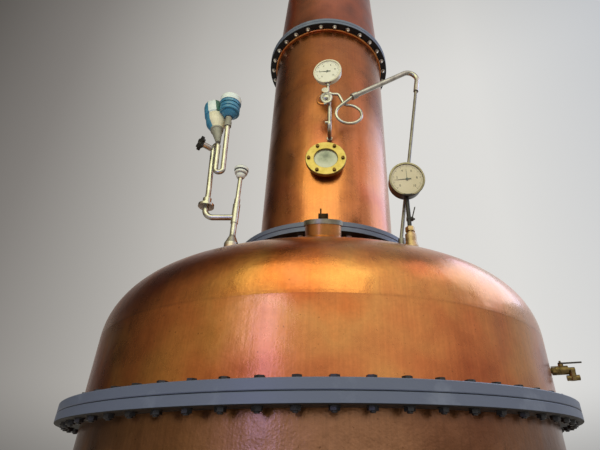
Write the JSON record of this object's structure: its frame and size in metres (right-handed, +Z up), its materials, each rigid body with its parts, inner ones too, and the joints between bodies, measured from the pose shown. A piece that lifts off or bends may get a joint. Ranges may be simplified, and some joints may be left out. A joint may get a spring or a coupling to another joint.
{
  "type": "copper pot still",
  "caption": "Copper pot still on legs: bolted round pot and dome, tall neck with sight glass, swan neck and sloped lyne arm, gauges, siphons and sampling valve.",
  "frame": {"origin": "on the floor, on the axis of the pot, at the centre of the anchor holes", "axes": "+Z up, -Y towards the front with the sight glass and the gauges, +X to the right seen from the front, -X along the lyne arm"},
  "size_m": [2.8311, 2.1162, 5.6153],
  "materials": {
    "copper": "planished and brushed",
    "flange_paint": "satin blue-grey paint",
    "frame_paint": "satin grey paint",
    "stainless_steel": "drawn",
    "valve_brass": "cast and turned",
    "ring_brass": "turned",
    "bronze": "cast",
    "gauge_steel": "polished",
    "blue_enamel": "gloss enamel",
    "pale_enamel": "satin enamel",
    "black_plastic": "moulded",
    "dark_steel": "dark oxide",
    "sight_glass": "clear",
    "gasket": "cut sheet"
  },
  "bodies": {
    "still": {"pot_bottom": "copper", "pot_shell_lower": "copper", "pot_shell": "copper", "support_belt": "frame_paint", "leg_front_right": "frame_paint", "leg_rear_right": "frame_paint", "leg_rear_left": "frame_paint", "leg_front_left": "frame_paint", "outlet_nozzle": "stainless_steel", "steam_nozzles": "stainless_steel", "manway_frame": "copper", "manway_door": "copper", "main_flange_lower": "flange_paint", "main_flange_upper": "flange_paint", "base_flange_lower": "flange_paint", "base_flange_upper": "flange_paint", "top_flange_lower": "flange_paint", "top_flange_upper": "flange_paint", "flange_gaskets": "gasket", "dome_band": "copper", "dome_crown": "copper", "neck": "copper", "neck_cone": "copper", "swan_neck": "copper", "lyne_arm": "copper", "lyne_arm_flange": "flange_paint", "sight_boss": "copper", "sight_ring": "ring_brass", "sight_pane": "sight_glass", "neck_gauge": "gauge_steel", "gauge_siphon": "stainless_steel", "balance_loop": "stainless_steel", "balance_tube": "stainless_steel", "relief_nozzle": "copper", "relief_valve": "bronze", "dome_gauge": "gauge_steel", "gauge_cock_body": "valve_brass", "instrument_standpipe": "stainless_steel", "temperature_probe": "pale_enamel", "instrument_siphon": "stainless_steel", "pressure_transmitter": "blue_enamel", "level_transmitter": "blue_enamel", "needle_valve": "stainless_steel", "side_valve": "valve_brass"},
    "gauge_cock_lever": {"gauge_cock_lever": "dark_steel"},
    "valve_handwheel": {"valve_handwheel": "black_plastic"},
    "side_valve_lever": {"side_valve_lever": "dark_steel"}
  },
  "joints": [
    {"name": "gauge_cock_turn", "type": "hinge", "parent": "still", "child": "gauge_cock_lever", "pos_m": [0.35692, -0.49036, 2.48903], "axis": [1, 0, 0], "range_deg": [0, 90]},
    {"name": "handwheel_turn", "type": "hinge", "parent": "still", "child": "valve_handwheel", "pos_m": [-0.548, -0.409, 2.92633], "axis": [-0.7071, -0.7071, 0], "range_deg": [0, 270]},
    {"name": "side_valve_turn", "type": "hinge", "parent": "still", "child": "side_valve_lever", "pos_m": [0.94483, -0.28886, 1.9365], "axis": [0, 0, 1], "range_deg": [0, 90]}
  ]
}
